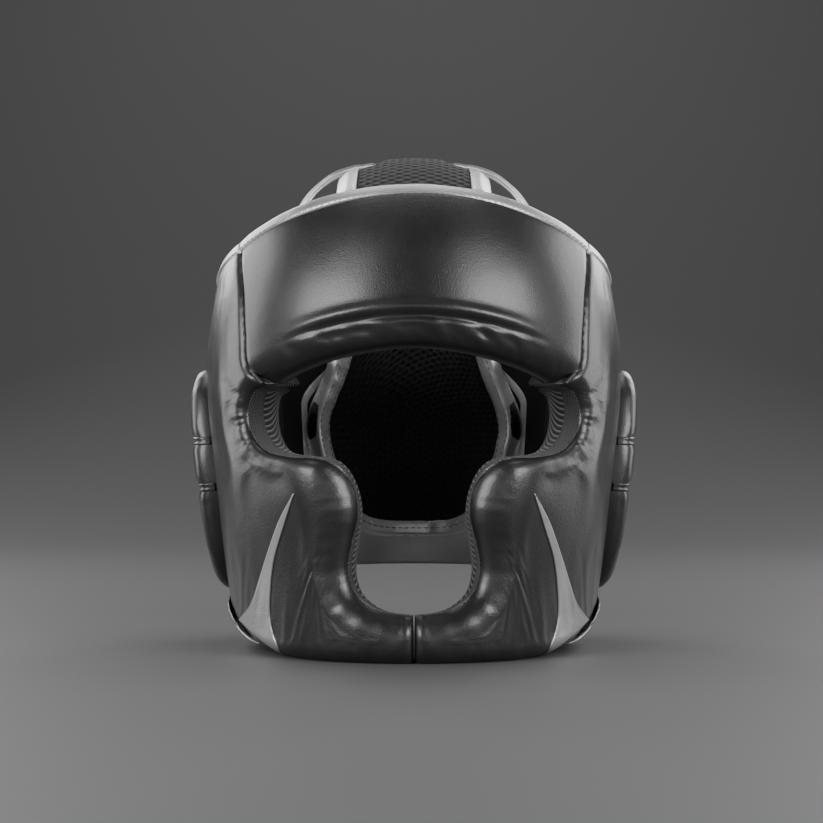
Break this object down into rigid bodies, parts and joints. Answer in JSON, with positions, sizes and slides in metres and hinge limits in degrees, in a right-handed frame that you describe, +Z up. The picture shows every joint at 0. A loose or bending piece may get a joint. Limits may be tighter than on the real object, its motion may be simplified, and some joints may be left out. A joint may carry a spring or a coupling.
{
  "type": "boxing headgear",
  "caption": "Full-face padded boxing headgear with cheek and chin guard, ear guards, mesh-lined tongue over the crown, and hook-and-loop straps over the crown and at the back.",
  "frame": {"origin": "on the surface the headgear stands on, under the middle of its bounding box", "axes": "+Z up, -Y the way the wearer looks, +X the wearer's left"},
  "size_m": [0.2694, 0.2528, 0.2833],
  "materials": {
    "black_leather": "satin black synthetic leather",
    "silver_leather": "satin silver synthetic leather",
    "black_trim": "black synthetic leather binding",
    "spacer_mesh": "black three-dimensional spacer mesh",
    "lining_fabric": "black lining fabric",
    "ribbed_lining": "black fabric with a fine diagonal rib",
    "foam": "dense foam, never seen",
    "hook_and_loop": "black hook-and-loop tape"
  },
  "bodies": {
    "shell": {"forehead_cover": "black_leather", "forehead_foam": "foam", "forehead_lining": "lining_fabric", "forehead_binding": "silver_leather", "brow_edge": "ribbed_lining", "left_side_cover": "black_leather", "right_side_cover": "black_leather", "left_side_foam": "foam", "right_side_foam": "foam", "left_side_lining": "lining_fabric", "right_side_lining": "lining_fabric", "left_side_binding": "silver_leather", "right_side_binding": "silver_leather", "left_face_edge": "ribbed_lining", "right_face_edge": "ribbed_lining", "left_cheek_accent": "silver_leather", "right_cheek_accent": "silver_leather", "left_ear_cover": "black_leather", "right_ear_cover": "black_leather", "left_ear_foam": "foam", "right_ear_foam": "foam", "left_ear_mesh": "spacer_mesh", "right_ear_mesh": "spacer_mesh", "left_ear_bands": "black_trim", "right_ear_bands": "black_trim", "left_neck_band": "silver_leather", "right_neck_band": "silver_leather"},
    "tongue": {"crown_lining": "spacer_mesh", "crown_foam": "foam", "crown_cover": "spacer_mesh", "tongue_lining": "spacer_mesh", "tongue_foam": "foam", "tongue_cover": "black_leather", "left_tongue_binding": "silver_leather", "right_tongue_binding": "silver_leather", "tongue_front_binding": "silver_leather", "tongue_rear_binding": "silver_leather", "left_crown_trim": "silver_leather", "right_crown_trim": "silver_leather", "left_crown_loop": "hook_and_loop", "right_crown_loop": "hook_and_loop"},
    "left_wing": {"left_wing_cover": "black_leather", "left_wing_foam": "foam", "left_wing_lining": "lining_fabric", "left_wing_binding": "silver_leather", "closure_anchor": "silver_leather"},
    "right_wing": {"right_wing_cover": "black_leather", "right_wing_foam": "foam", "right_wing_lining": "lining_fabric", "right_wing_binding": "silver_leather", "closure_loop": "hook_and_loop"},
    "closure": {"closure_strap": "silver_leather", "closure_hook": "hook_and_loop"},
    "left_crown_strap": {"left_crown_strap": "silver_leather", "left_crown_hook": "hook_and_loop"},
    "right_crown_strap": {"right_crown_strap": "silver_leather", "right_crown_hook": "hook_and_loop"}
  },
  "joints": [
    {"name": "tongue_tilt", "type": "hinge", "parent": "shell", "child": "tongue", "pos_m": [0, -0.0675, 0.2445], "axis": [-1, 0, 0], "range_deg": [0, 15]},
    {"name": "left_wing_open", "type": "hinge", "parent": "shell", "child": "left_wing", "pos_m": [0.0995, 0.0545, 0.11], "axis": [0, 0, -1], "range_deg": [0, 30]},
    {"name": "right_wing_open", "type": "hinge", "parent": "shell", "child": "right_wing", "pos_m": [-0.0995, 0.0545, 0.11], "axis": [0, 0, -1], "range_deg": [-30, 0]},
    {"name": "closure_strap_open", "type": "hinge", "parent": "left_wing", "child": "closure", "pos_m": [0.0705, 0.0965, 0.06], "axis": [0, 0, -1], "range_deg": [0, 90]},
    {"name": "left_crown_strap_peel", "type": "hinge", "parent": "shell", "child": "left_crown_strap", "pos_m": [0.0923, -0.0162, 0.222], "axis": [0.2759, 0.9207, -0.2759], "range_deg": [0, 60]},
    {"name": "right_crown_strap_peel", "type": "hinge", "parent": "shell", "child": "right_crown_strap", "pos_m": [-0.0923, -0.0162, 0.222], "axis": [0.2759, -0.9207, 0.2759], "range_deg": [0, 60]}
  ],
  "couplings": [
    {"joint": "right_wing_open", "follows": "left_wing_open", "ratio": -1}
  ]
}
